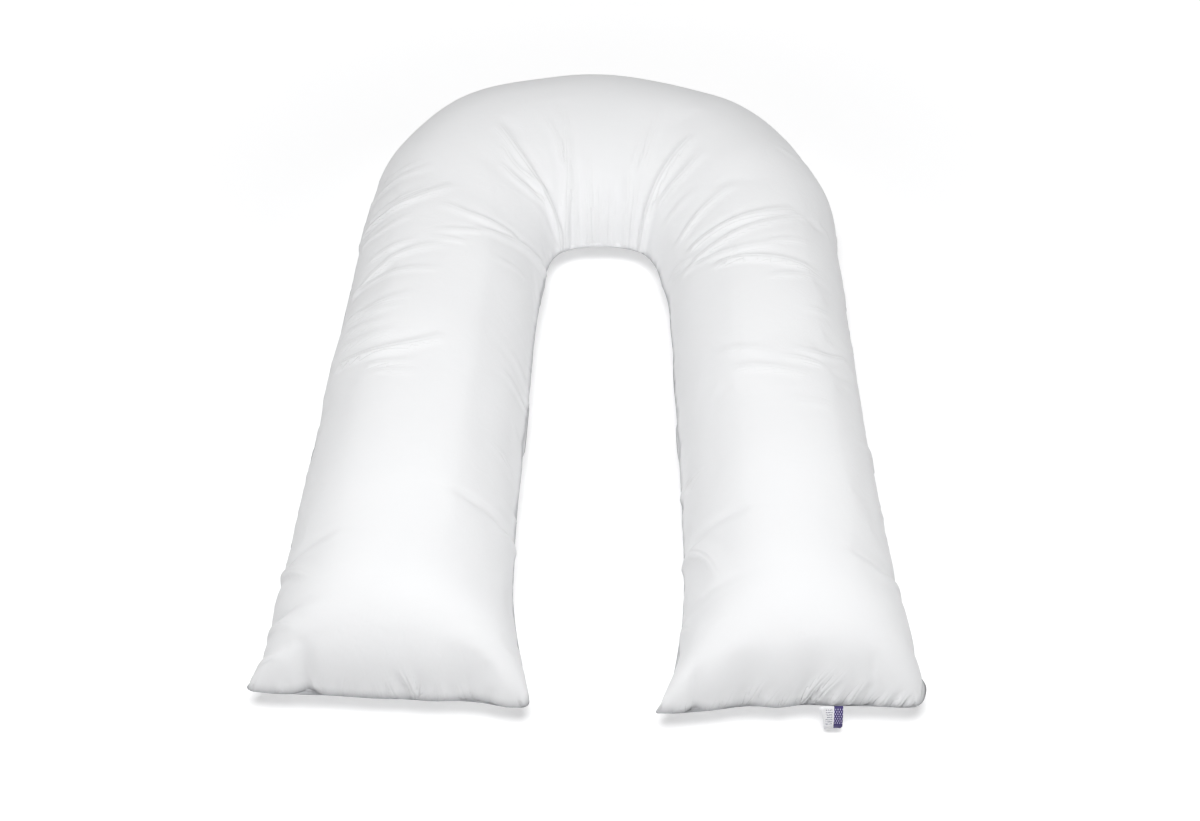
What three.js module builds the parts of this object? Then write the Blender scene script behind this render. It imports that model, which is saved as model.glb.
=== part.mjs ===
// U-shaped body pillow, millimetres, +Z up. The arch points to +Y and the two legs run to -Y.
// The filled pillow is one solid: an upper and a lower panel that meet in one seam all the way
// round. Its underside is flat where it lies on the bed. The label is a strip of its own.
import * as THREE from "three";
import { ParametricGeometry } from "three/addons/geometries/ParametricGeometry.js";
import { mergeVertices } from "three/addons/utils/BufferGeometryUtils.js";

// One row per section across the tube, from the end of one leg round the arch to the end of the
// other: the seam on the outer side (ox, oy) and on the inner side (ix, iy), the height of the
// crown, the height of the seam, and the number of stations from this row to the next.
const SECTIONS = [
  { ox: -452, oy: -911, ix: -85, iy: -936, crown: 176, seam: 40, stations: 4 },
  { ox: -438, oy: -865, ix: -94, iy: -888, crown: 176, seam: 43, stations: 6 },
  { ox: -429, oy: -763, ix: -110, iy: -768, crown: 178, seam: 48, stations: 6 },
  { ox: -425, oy: -621, ix: -110, iy: -621, crown: 180, seam: 50, stations: 6 },
  { ox: -420, oy: -480, ix: -106, iy: -480, crown: 176, seam: 50, stations: 6 },
  { ox: -416, oy: -338, ix: -100, iy: -338, crown: 174, seam: 50, stations: 6 },
  { ox: -411, oy: -196, ix: -96, iy: -216, crown: 174, seam: 50, stations: 6 },
  { ox: -406, oy: -55, ix: -90, iy: -133, crown: 176, seam: 50, stations: 6 },
  { ox: -400, oy: 92, ix: -85, iy: -82, crown: 180, seam: 48, stations: 6 },
  { ox: -367, oy: 226, ix: -80, iy: -36, crown: 186, seam: 45, stations: 6 },
  { ox: -274, oy: 373, ix: -67, iy: 2, crown: 191, seam: 42, stations: 6 },
  { ox: -108, oy: 446, ix: -38, iy: 26, crown: 194, seam: 40, stations: 4 },
  { ox: 0, oy: 455, ix: 3, iy: 31, crown: 195, seam: 40, stations: 4 },
  { ox: 114, oy: 435, ix: 44, iy: 27, crown: 194, seam: 40, stations: 6 },
  { ox: 257, oy: 371, ix: 78, iy: 6, crown: 191, seam: 42, stations: 6 },
  { ox: 359, oy: 235, ix: 97, iy: -33, crown: 186, seam: 45, stations: 6 },
  { ox: 405, oy: 98, ix: 106, iy: -84, crown: 180, seam: 48, stations: 6 },
  { ox: 410, oy: -55, ix: 114, iy: -133, crown: 176, seam: 50, stations: 6 },
  { ox: 408, oy: -196, ix: 118, iy: -216, crown: 174, seam: 50, stations: 6 },
  { ox: 406, oy: -338, ix: 118, iy: -338, crown: 174, seam: 50, stations: 6 },
  { ox: 405, oy: -480, ix: 120, iy: -480, crown: 176, seam: 50, stations: 6 },
  { ox: 407, oy: -621, ix: 120, iy: -621, crown: 180, seam: 50, stations: 6 },
  { ox: 412, oy: -763, ix: 116, iy: -768, crown: 178, seam: 48, stations: 6 },
  { ox: 419, oy: -865, ix: 101, iy: -885, crown: 176, seam: 43, stations: 4 },
  { ox: 420, oy: -932, ix: 78, iy: -944, crown: 176, seam: 40, stations: 0 },
];

// One row per fold in the upper panel, in plan: where it starts (x, y), the way it runs in
// degrees from +X, its length, its depth and its half-width. Folds that start at the seam draw
// the seam in as well.
const FOLDS = [
  // round the inside of the arch, fanning out from the inner seam
  { x: -60, y: 20, turn: 127, length: 160, depth: 10, width: 13 },
  { x: -94, y: 52, turn: 137, length: 80, depth: 7, width: 12 },
  { x: -59, y: 106, turn: 108, length: 80, depth: 5, width: 12 },
  { x: -45, y: 28, turn: 94, length: 162, depth: 7, width: 12 },
  { x: -16, y: 30, turn: 90, length: 68, depth: 6, width: 11 },
  { x: 48, y: 24, turn: 86, length: 60, depth: 6, width: 11 },
  { x: 72, y: 100, turn: 74, length: 108, depth: 5, width: 13 },
  { x: 69, y: 14, turn: 54, length: 142, depth: 10, width: 13 },
  { x: 108, y: 38, turn: 40, length: 86, depth: 7, width: 12 },
  { x: 142, y: -60, turn: 39, length: 94, depth: 6, width: 13 },
  { x: 162, y: -104, turn: 19, length: 156, depth: 9, width: 13 },
  { x: 124, y: -130, turn: -12, length: 155, depth: 6, width: 13 },
  { x: 198, y: -179, turn: -5, length: 143, depth: 9, width: 13 },
  { x: -90, y: -82, turn: 191, length: 101, depth: 7, width: 13 },
  { x: -137, y: -82, turn: 162, length: 108, depth: 7, width: 13 },
  // from the outer seam up the side, where the arch meets the left leg
  { x: -374, y: 54, turn: 5, length: 90, depth: 6, width: 13 },
  { x: -378, y: -34, turn: 16, length: 138, depth: 8, width: 14 },
  { x: -352, y: -138, turn: 7, length: 56, depth: 5, width: 13 },
  { x: -374, y: -190, turn: 20, length: 130, depth: 7, width: 14 },
  { x: -377, y: -274, turn: 0, length: 84, depth: 6, width: 14 },
  // across the legs
  { x: -375, y: -338, turn: -13, length: 68, depth: 5, width: 13 },
  { x: -375, y: -378, turn: 2, length: 142, depth: 7, width: 14 },
  { x: -326, y: -417, turn: -11, length: 54, depth: 5, width: 13 },
  { x: -104, y: -388, turn: 108, length: 48, depth: 5, width: 12 },
  { x: 296, y: -396, turn: 19, length: 72, depth: 5, width: 13 },
  { x: 212, y: -432, turn: -10, length: 81, depth: 5, width: 13 },
  // pinches along the side seams
  { x: -421, y: -449, turn: 0, length: 25, depth: 6, width: 13 },
  { x: -109, y: -675, turn: 230, length: 25, depth: 8, width: 13 },
  { x: -427, y: -719, turn: -52, length: 60, depth: 7, width: 13 },
  { x: -433, y: -812, turn: -30, length: 40, depth: 7, width: 13 },
  { x: 406, y: -500, turn: 200, length: 25, depth: 5, width: 13 },
  { x: 120, y: -579, turn: -20, length: 35, depth: 5, width: 13 },
  { x: 118, y: -707, turn: -64, length: 70, depth: 6, width: 13 },
  { x: 414, y: -762, turn: 230, length: 40, depth: 6, width: 13 },
  // puckers along the end seams
  { x: -239, y: -923, turn: 115, length: 34, depth: 6, width: 12 },
  { x: 272, y: -936, turn: 52, length: 42, depth: 6, width: 12 },
  { x: 198, y: -939, turn: 65, length: 28, depth: 5, width: 11 },
];

const RING_POINTS = 36;        // round the tube, half on each panel
const CROWN_ROUNDNESS = 2.15;  // 2 is an ellipse
const LIP_DEPTH = 6;           // the sewn edge beyond the filled body
const LIP_THICKNESS = 4;
const END_ROUND = 110;         // length over which a leg closes to its end seam
const UNDER_TUCK = 0.52;       // share of the half-width before the lower panel lies flat
const UNDER_ROUNDNESS = 1.8;

const SAME_POINT = 1e-3;       // vertices nearer than this are one

const LABEL_WIDTH = 24;
const LABEL_LENGTH = 31;
const LABEL_THICKNESS = 1.6;
const LABEL_MIDDLE = 303;      // along X, on the end seam of the right leg
const LABEL_DROOP = 50;        // degrees below level where it leaves the seam
const LABEL_CURL = 30;         // degrees more at its free end
const LABEL_GAP = 1;           // between the strip and the pillow's edge
const LABEL_STEPS = 8;

const lastRow = SECTIONS.length - 1;
const outerSeam = seamCurve((row) => [row.ox, row.oy]);
const innerSeam = seamCurve((row) => [row.ix, row.iy]);
const stations = SECTIONS.flatMap((row, index) =>
  Array.from({ length: row.stations }, (_, step) => index + step / row.stations),
).concat(lastRow);
const foldLines = FOLDS.map((fold) => {
  const start = new THREE.Vector2(fold.x, fold.y);
  const angle = THREE.MathUtils.degToRad(fold.turn);
  return { ...fold, start, way: new THREE.Vector2(Math.cos(angle), Math.sin(angle)) };
});

function seamCurve(pick) {
  const points = SECTIONS.map((row) => new THREE.Vector3(...pick(row), 0));
  return new THREE.CatmullRomCurve3(points);
}

// A column of SECTIONS at a place between two rows, level at each row.
function between(column, place) {
  const low = Math.min(Math.floor(place), lastRow - 1);
  const share = THREE.MathUtils.smoothstep(place - low, 0, 1);
  return THREE.MathUtils.lerp(SECTIONS[low][column], SECTIONS[low + 1][column], share);
}

function distanceToEndSeam(point, row) {
  const outer = new THREE.Vector2(row.ox, row.oy);
  const along = new THREE.Vector2(row.ix, row.iy).sub(outer).normalize();
  return Math.abs(along.cross(new THREE.Vector2(point.x, point.y).sub(outer)));
}

// 1 at a leg's end seam, falling to 0 where the leg has its full height.
function endShare(point) {
  const fromEnd = Math.min(...[SECTIONS[0], SECTIONS[lastRow]].map((row) => distanceToEndSeam(point, row)));
  return Math.max(1 - fromEnd / END_ROUND, 0);
}

// How deep the folds draw the cloth in at a point in plan.
function foldDepth(point) {
  return foldLines.reduce((sum, fold) => {
    const offset = new THREE.Vector2(point.x, point.y).sub(fold.start);
    const along = THREE.MathUtils.clamp(offset.dot(fold.way), 0, fold.length);
    const distance = offset.distanceTo(fold.way.clone().multiplyScalar(along));
    return sum + fold.depth * Math.exp(-((distance / fold.width) ** 2));
  }, 0);
}

// A point on the pillow: round the ring by u and along the tube by v, both from 0 to 1.
function pillowPoint(u, v, target) {
  const place = stations[Math.round(v * (stations.length - 1))];
  const outer = outerSeam.getPoint(place / lastRow);
  const inner = innerSeam.getPoint(place / lastRow);
  const middle = outer.clone().lerp(inner, 0.5);
  const halfWidth = outer.distanceTo(inner) / 2;
  const across = outer.clone().sub(inner).normalize();
  const seam = between("seam", place);
  const crown = between("crown", place) - seam;
  const cosine = Math.cos(u * 2 * Math.PI);
  const sine = Math.sin(u * 2 * Math.PI);
  const onSeam = Math.abs(sine) < SAME_POINT;

  const body = halfWidth - LIP_DEPTH;
  const side = Math.sign(cosine);
  const reach = onSeam ? side * halfWidth : side * body * Math.abs(cosine) ** (2 / CROWN_ROUNDNESS);
  const inPlan = middle.clone().addScaledVector(across, reach);
  const closed = endShare(inPlan);
  const inward = Math.min((1 - Math.min(Math.abs(reach) / body, 1)) / UNDER_TUCK, 1);
  let height = 0;
  if (!onSeam && sine > 0) {
    const rise = LIP_THICKNESS / 2 + crown * sine ** (2 / CROWN_ROUNDNESS);
    height = rise * Math.sqrt(1 - closed ** 2);
  } else if (!onSeam) {
    const drop = Math.max(LIP_THICKNESS / 2, seam * (1 - (1 - inward) ** UNDER_ROUNDNESS));
    height = -drop * (1 - closed ** UNDER_ROUNDNESS);
  }

  const facing = new THREE.Vector2(cosine / halfWidth, Math.max(sine, 0) / crown).normalize();
  const drawn = foldDepth(inPlan) * (sine < 0 ? 1 - inward : 1) * (1 - closed ** 3);
  target.copy(inPlan).addScaledVector(across, -facing.x * drawn);
  target.z = seam + height - facing.y * Math.min(drawn, Math.max(height, 0));
}

// The label's profile: a strip that leaves the seam at LABEL_DROOP and curls down from there.
function labelShape() {
  const step = (LABEL_LENGTH - LABEL_THICKNESS) / LABEL_STEPS;
  const line = [new THREE.Vector2(0, 0)];
  const normals = [];
  for (let index = 0; index <= LABEL_STEPS; index += 1) {
    const share = index / LABEL_STEPS;
    const angle = THREE.MathUtils.degToRad(-LABEL_DROOP - LABEL_CURL * share);
    const way = new THREE.Vector2(Math.cos(angle), Math.sin(angle));
    normals.push(new THREE.Vector2(-way.y, way.x).multiplyScalar(LABEL_THICKNESS / 2));
    if (index < LABEL_STEPS) line.push(line[index].clone().addScaledVector(way, step));
  }
  const upper = line.map((point, index) => point.clone().add(normals[index]));
  const lower = line.map((point, index) => point.clone().sub(normals[index]));
  return new THREE.Shape([...upper, ...lower.reverse()].reverse());
}

function closedMesh(name, geometry, material) {
  geometry.deleteAttribute("uv");
  geometry.deleteAttribute("normal");
  const solid = mergeVertices(geometry, SAME_POINT);
  solid.computeVertexNormals();
  const mesh = new THREE.Mesh(solid, material);
  mesh.name = name;
  return mesh;
}

const cotton = new THREE.MeshStandardMaterial({ color: 0xf4f4f5, roughness: 0.92, metalness: 0 });
const tape = new THREE.MeshStandardMaterial({ color: 0xe9e9ec, roughness: 0.7, metalness: 0 });

const pillow = closedMesh(
  "pillow",
  new ParametricGeometry(pillowPoint, RING_POINTS, stations.length - 1),
  cotton,
);

const label = closedMesh(
  "label",
  new THREE.ExtrudeGeometry(labelShape(), { depth: LABEL_WIDTH, bevelEnabled: false }),
  tape,
);
const endRow = SECTIONS[lastRow];
const labelShare = (LABEL_MIDDLE - endRow.ix) / (endRow.ox - endRow.ix);
const outward = new THREE.Vector3(0, -1, 0);
const upward = new THREE.Vector3(0, 0, 1);
const sideways = outward.clone().cross(upward);
label.setRotationFromMatrix(new THREE.Matrix4().makeBasis(outward, upward, sideways));
label.position.set(
  LABEL_MIDDLE + LABEL_WIDTH / 2,
  THREE.MathUtils.lerp(endRow.iy, endRow.oy, labelShare) - LABEL_GAP,
  endRow.seam,
);

// The origin is the middle of the whole thing in plan, on the bed.
const bodyPillow = new THREE.Group();
bodyPillow.add(pillow, label);
const middle = new THREE.Box3().setFromObject(bodyPillow).getCenter(new THREE.Vector3());
bodyPillow.position.set(-middle.x, -middle.y, 0);

export default bodyPillow;
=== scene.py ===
"""Dresses the U-shaped body pillow: a filled cotton cover, its sewn edge and stitches, and its tag.

Sizes are in metres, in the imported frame: +Z up, the arch towards +Y, the leg ends towards -Y. The
tables of sections, folds, puckers, edges and swerves are in millimetres, in a plan of their own
that PillowForm places on the frame.
"""

import logging
import math
from dataclasses import dataclass, replace
from enum import Enum
from typing import Any, NamedTuple

import bpy
import numpy as np
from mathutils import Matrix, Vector, noise


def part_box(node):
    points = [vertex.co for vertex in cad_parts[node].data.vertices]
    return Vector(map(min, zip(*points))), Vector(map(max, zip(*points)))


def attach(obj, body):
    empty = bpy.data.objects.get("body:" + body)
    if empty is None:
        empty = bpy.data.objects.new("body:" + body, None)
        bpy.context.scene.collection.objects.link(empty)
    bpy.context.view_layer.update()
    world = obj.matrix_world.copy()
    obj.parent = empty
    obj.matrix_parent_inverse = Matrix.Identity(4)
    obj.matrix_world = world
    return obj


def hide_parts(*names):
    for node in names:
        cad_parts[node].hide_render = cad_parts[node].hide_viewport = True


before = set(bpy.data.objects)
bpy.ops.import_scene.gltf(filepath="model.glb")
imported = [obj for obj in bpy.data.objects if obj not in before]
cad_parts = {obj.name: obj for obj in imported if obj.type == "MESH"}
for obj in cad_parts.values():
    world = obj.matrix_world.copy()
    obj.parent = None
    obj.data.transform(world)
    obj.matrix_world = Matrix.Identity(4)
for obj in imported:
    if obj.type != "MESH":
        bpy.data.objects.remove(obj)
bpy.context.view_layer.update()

MM = 0.001
LOG = logging.getLogger("body_pillow")


class Section(NamedTuple):
    """One section across the tube, in millimetres from the middle of the arch.

    The seam's outer point (ox, oy), its inner point (ix, iy), the crown's height, the seam's, and
    the spacing of the stations from here to the next section.
    """

    ox: float
    oy: float
    ix: float
    iy: float
    crown: float
    seam: float
    step: float = 6.5


class Fold(NamedTuple):
    """One fold in the upper panel, in millimetres and degrees, on the sections' plan.

    It starts at (x, y), runs towards turn for length and veers by bend on its way. Its trough has
    a depth and a half-width, and fades towards its far end.
    """

    x: float
    y: float
    turn: float
    length: float
    depth: float
    width: float
    bend: float = 0.0


SECTIONS = (
    Section(-452, -908, -81, -936, 176, 40, 3.3),
    Section(-433, -865, -91, -888, 176, 43, 4.3),
    Section(-427, -763, -109, -768, 178, 48, 5.4),
    Section(-425, -621, -110, -621, 180, 50, 9.2),
    Section(-420, -480, -106, -480, 176, 50, 5.0),
    Section(-416, -338, -100, -338, 174, 50, 4.6),
    Section(-411, -196, -96, -216, 174, 50, 4.6),
    Section(-406, -55, -90, -133, 176, 50, 4.6),
    Section(-400, 92, -85, -82, 180, 48, 5.4),
    Section(-367, 226, -80, -36, 186, 45, 7.1),
    Section(-274, 371, -67, 2, 191, 42),
    Section(-108, 441, -38, 26, 194, 40),
    Section(0, 450, 3, 31, 195, 40),
    Section(114, 431, 44, 27, 194, 40),
    Section(257, 369, 78, 6, 191, 42, 7.1),
    Section(359, 235, 97, -33, 186, 45, 5.4),
    Section(405, 98, 106, -84, 180, 48, 5.4),
    Section(410, -55, 114, -133, 176, 50, 5.4),
    Section(408, -196, 118, -216, 174, 50, 5.4),
    Section(406, -338, 118, -338, 174, 50, 5.4),
    Section(405, -480, 120, -480, 176, 50, 9.2),
    Section(407, -621, 120, -621, 180, 50, 5.4),
    Section(410, -763, 116, -768, 178, 48, 4.8),
    Section(419, -865, 99, -885, 176, 43, 3.3),
    Section(420, -932, 75, -944, 176, 40),
)

ARCH_FOLDS = (
    # left of the arch, fanning out from the inner seam
    Fold(-66, 20, 125, 168, 3.8, 6.5, 6),
    Fold(-73, 24, 130, 74, 1.2, 5, 3),
    Fold(-94, 52, 137, 82, 2.6, 6, 11),
    Fold(-93, 32, 150, 70, 2.6, 5.5, 7),
    Fold(-59, 104, 108, 82, 2.2, 6, -4),
    Fold(-53, 24, 91, 168, 3.3, 6.5, -5),
    Fold(-36, 28, 92, 55, 1.9, 4.5),
    Fold(-16, 30, 90, 72, 3.0, 5.5, -2),
    Fold(-4, 31, 86, 42, 2.2, 4.5),
    Fold(12, 31, 92, 40, 1.9, 4),
    Fold(24, 30, 86, 35, 1.9, 4),
    # right of the arch
    Fold(48, 26, 85, 62, 2.6, 5.5, -3),
    Fold(59, 20, 76, 42, 1.9, 4.5),
    Fold(65, 106, 72, 56, 1.5, 6),
    Fold(78, 98, 76, 110, 2.2, 6.5, -3),
    Fold(76, 12, 56, 144, 5.2, 6.5, 4),
    Fold(106, 32, 42, 90, 3.3, 6, -5),
    Fold(124, -5, 27, 38, 2.2, 5.5),
    Fold(142, -60, 39, 96, 3.3, 6, 3),
    Fold(160, -102, 19, 160, 4.4, 6.5, -2),
    Fold(126, -112, -33, 44, 2.2, 5.5),
    Fold(160, -139, 25, 182, 3.7, 6, -5),
    Fold(120, -118, -50, 38, 1.9, 5),
    Fold(145, -147, 0, 132, 2.6, 6, -9),
    Fold(280, -139, 14, 50, 1.9, 5),
    Fold(198, -178, -7, 144, 4.4, 7, 3),
    Fold(273, -227, 15, 68, 1.9, 6),
    Fold(317, 130, -26, 30, 1.5, 6),
    # between the fan and the left leg
    Fold(-137, -76, 164, 108, 3.0, 6, 8),
    Fold(-88, -66, 199, 108, 3.7, 6, 6),
    Fold(-195, -108, 182, 56, 1.9, 5),
    Fold(-215, -137, 165, 44, 1.9, 5),
    Fold(-126, -149, 194, 34, 1.5, 5),
)

SHOULDER_FOLDS = (
    # from the outer seam up over the left shoulder
    Fold(-378, 60, 1, 93, 2.8, 6.5, -4),
    Fold(-341, 78, 4, 44, 1.6, 5),
    Fold(-371, -8, 7, 91, 2.4, 6, -7),
    Fold(-380, -30, 14, 140, 4.4, 6.5, -10),
    Fold(-373, -70, 4, 68, 2.4, 5.5, -5),
    Fold(-354, -135, 3, 60, 2.4, 5.5),
    Fold(-376, -191, 20, 132, 3.2, 6.5, 8),
    Fold(-380, -196, -5, 128, 2.2, 6),
    Fold(-381, -268, -3, 88, 3.2, 6.5, -6),
    Fold(-385, -279, -8, 90, 2.0, 5.5, -8),
)

LEG_FOLDS = (
    # across the left leg
    Fold(-371, -277, -19, 50, 2.5, 6),
    Fold(-377, -305, -24, 54, 3.0, 6),
    Fold(-378, -335, -14, 72, 3.0, 6, -4),
    Fold(-378, -376, 2, 145, 5.0, 7, -17),
    Fold(-326, -418, -9, 54, 2.5, 5.5),
    Fold(-312, -439, -10, 50, 2.0, 5.5),
    Fold(-104, -384, 114, 48, 3.5, 5.5, -6),
    Fold(-106, -405, 158, 34, 2.5, 5),
    Fold(-124, -562, 150, 18, 2.0, 5),
    Fold(-117, -628, 215, 20, 2.0, 5),
    # across the right leg
    Fold(367, -371, 199, 72, 3.0, 6, 8),
    Fold(321, -417, 176, 40, 2.5, 5.5),
    Fold(194, -385, -17, 56, 2.0, 7),
    Fold(212, -431, -11, 82, 2.5, 7),
    Fold(374, -422, 214, 30, 2.0, 5.5),
    Fold(322, -506, 186, 40, 2.0, 6),
    Fold(346, -288, 200, 30, 2.0, 5),
)

PINCHES = (
    # where the side seams are drawn in
    Fold(-418, -472, -20, 34, 3.0, 6),
    Fold(-109, -675, 232, 26, 5.0, 8),
    Fold(-426, -748, -47, 84, 4.0, 5.5),
    Fold(-424, -746, -26, 50, 3.0, 5),
    Fold(-434, -843, -29, 56, 4.0, 5.5),
    Fold(-442, -884, -14, 40, 4.6, 5.5),
    Fold(404, -522, 208, 40, 3.0, 6),
    Fold(120, -579, -22, 34, 3.5, 7),
    Fold(118, -705, -67, 98, 4.5, 8, 6),
    Fold(110, -822, -72, 46, 3.5, 8),
    Fold(409, -779, 211, 42, 4.0, 5.5),
)

FOLDS = ARCH_FOLDS + SHOULDER_FOLDS + LEG_FOLDS + PINCHES


class Pucker(NamedTuple):
    """One pucker that rises from a seam, in millimetres and degrees.

    Its place along the seam, its lean from square to the seam, its length over the cloth, its
    depth and its half-width.
    """

    place: float
    lean: float
    length: float
    depth: float
    width: float


END_PUCKERS = (
    # left leg, from the outer corner in
    Pucker(-404, 5, 16, 3.9, 3.9),
    Pucker(-368, 17, 22, 3.0, 4.7),
    Pucker(-352, -12, 20, 4.3, 4.3),
    Pucker(-325, 6, 21, 5.1, 3.9),
    Pucker(-296, -3, 14, 3.5, 3.6),
    Pucker(-273, -7, 20, 3.9, 3.6),
    Pucker(-255, -9, 26, 5.7, 4.7),
    Pucker(-228, -12, 40, 6.6, 5.2),
    Pucker(-212, -8, 17, 3.5, 3.6),
    Pucker(-195, -5, 22, 4.2, 4.0),
    Pucker(-166, -11, 24, 4.4, 4.7),
    Pucker(-150, -8, 16, 4.7, 3.8),
    Pucker(-128, 7, 14, 5.1, 4.0),
    # right leg, from the inner corner out
    Pucker(104, 10, 12, 3.5, 3.8),
    Pucker(121, 7, 17, 3.9, 4.3),
    Pucker(146, 12, 16, 3.9, 3.6),
    Pucker(164, 14, 20, 4.5, 4.3),
    Pucker(193, 15, 32, 6.3, 4.9),
    Pucker(216, 17, 23, 4.5, 4.3),
    Pucker(238, 14, 17, 4.3, 3.8),
    Pucker(261, 20, 44, 7.2, 4.4),
    Pucker(276, 21, 41, 6.3, 4.2),
    Pucker(300, 17, 20, 4.3, 3.8),
    Pucker(320, 16, 32, 6.3, 4.9),
    Pucker(344, 15, 20, 4.3, 3.8),
    Pucker(360, 17, 24, 5.7, 4.7),
    Pucker(381, 20, 22, 5.1, 4.3),
    Pucker(397, 17, 17, 5.1, 4.0),
)


class Edge(NamedTuple):
    """A stretch where the sewn edge differs: its middle in plan, spread and depth, and its droop."""

    x: float
    y: float
    spread: float
    depth: float
    droop: float


# the middle of the opening on the inner arch that was sewn up last, in plan
OPENING = (3, 31)

EDGES = (
    # that opening
    Edge(*OPENING, 56, 5.5, 10),
    # the leg ends' corners, outer ones first
    Edge(426, -906, 30, 8.0, 15),
    Edge(-452, -911, 20, 5.0, 25),
    Edge(-85, -936, 16, 3.2, 45),
    Edge(78, -944, 16, 3.2, 45),
)


class Seam(Enum):
    """A stretch of the seam that runs all the way round."""

    END = "both leg ends"
    LEFT_OUTER = "the left leg's outer side"
    LEFT_INNER = "its inner side"
    RIGHT_INNER = "the right leg's inner side"
    RIGHT_OUTER = "its outer side"


class Swerve(NamedTuple):
    """A place where a seam lies farther out, or in if below 0.

    Its place along X on an end seam and along Y on a side seam, how far out, and its spread.
    """

    seam: Seam
    place: float
    out: float
    spread: float


SWERVES = (
    Swerve(Seam.END, -410, 2, 24),
    Swerve(Seam.END, -369, -7, 13),
    Swerve(Seam.END, -325, -0.5, 22),
    Swerve(Seam.END, -240, -2, 26),
    Swerve(Seam.END, -160, -7, 34),
    Swerve(Seam.END, -116, 2, 13),
    Swerve(Seam.END, 104, 1, 14),
    Swerve(Seam.END, 126, -6, 10),
    Swerve(Seam.END, 190, -8.5, 34),
    Swerve(Seam.END, 270, -7.5, 30),
    Swerve(Seam.END, 330, -4, 26),
    Swerve(Seam.END, 348, -2, 6),
    Swerve(Seam.END, 392, 1.5, 20),
    Swerve(Seam.LEFT_OUTER, -748, -7.0, 6),
    Swerve(Seam.LEFT_OUTER, -795, 1.0, 14),
    Swerve(Seam.LEFT_OUTER, -843, -8.0, 6),
    Swerve(Seam.LEFT_OUTER, -866, 1.0, 8),
    Swerve(Seam.LEFT_OUTER, -884, -7.0, 6),
    Swerve(Seam.LEFT_OUTER, -899, 3.0, 8),
    Swerve(Seam.LEFT_INNER, -675, -5.5, 7),
    Swerve(Seam.LEFT_INNER, -884, -2.0, 7),
    Swerve(Seam.RIGHT_INNER, -705, -5.5, 7),
    Swerve(Seam.RIGHT_INNER, -822, -3.0, 6),
    Swerve(Seam.RIGHT_OUTER, -766, -4.5, 16),
    Swerve(Seam.RIGHT_OUTER, -780, -4.0, 6),
    Swerve(Seam.RIGHT_OUTER, -874, -2.0, 8),
    Swerve(Seam.RIGHT_OUTER, -902, 3.0, 14),
)


SEAM_GAP = 10.0  # metres between two seams on the seam map, so that their gathers differ
TIP_COLUMNS = 3  # columns of the sewn edge before the inner seam's outermost one
# distances of the outermost stations from a leg's end seam, in millimetres
END_STATIONS = (0.0, 0.2, 0.45, 1.0, 2.0, 3.3, 4.9, 6.9, 9.2, 12.0, 15.4)

# ---------------------------------------------------------------------------- shader building


class Signal:
    """A shader socket that takes part in Python expressions."""

    def __init__(self, graph: "ShaderGraph", socket: bpy.types.NodeSocket) -> None:
        """Wraps an output socket of a graph."""
        self.graph = graph
        self.socket = socket

    def _math(self, operation: str, *values: Any) -> "Signal":
        """Adds one Math node.

        Args:
            operation: The node's operation.
            values: Its inputs, signals or numbers, in order.

        Returns:
            The node's value.
        """
        inputs = dict(enumerate(values))
        return self.graph.node("ShaderNodeMath", {"operation": operation}, inputs)

    def __add__(self, other: Any) -> "Signal":
        """Sum."""
        return self._math("ADD", self, other)

    def __radd__(self, other: Any) -> "Signal":
        """Sum with a number on the left."""
        return self._math("ADD", other, self)

    def __rsub__(self, other: Any) -> "Signal":
        """Difference from a number on the left."""
        return self._math("SUBTRACT", other, self)

    def __mul__(self, other: Any) -> "Signal":
        """Product."""
        return self._math("MULTIPLY", self, other)

    def __gt__(self, other: Any) -> "Signal":
        """1 where this is greater, else 0."""
        return self._math("GREATER_THAN", self, other)

    def __lt__(self, other: Any) -> "Signal":
        """1 where this is less, else 0."""
        return self._math("LESS_THAN", self, other)

    def sine(self) -> "Signal":
        """Sine of the value, in radians."""
        return self._math("SINE", self)

    def fraction(self) -> "Signal":
        """The part after the decimal point."""
        return self._math("FRACT", self)

    def bell(self) -> "Signal":
        """A bell curve: 1 where the value is 0."""
        return self._math("EXPONENT", self * self * -1.0)

    def clipped(self) -> "Signal":
        """The value kept between 0 and 1."""
        return self._math("MAXIMUM", self._math("MINIMUM", self, 1.0), 0.0)


COLOUR_A, COLOUR_B, MIXED_COLOUR = 6, 7, 2  # a Mix node's colour inputs and its colour output


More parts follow.
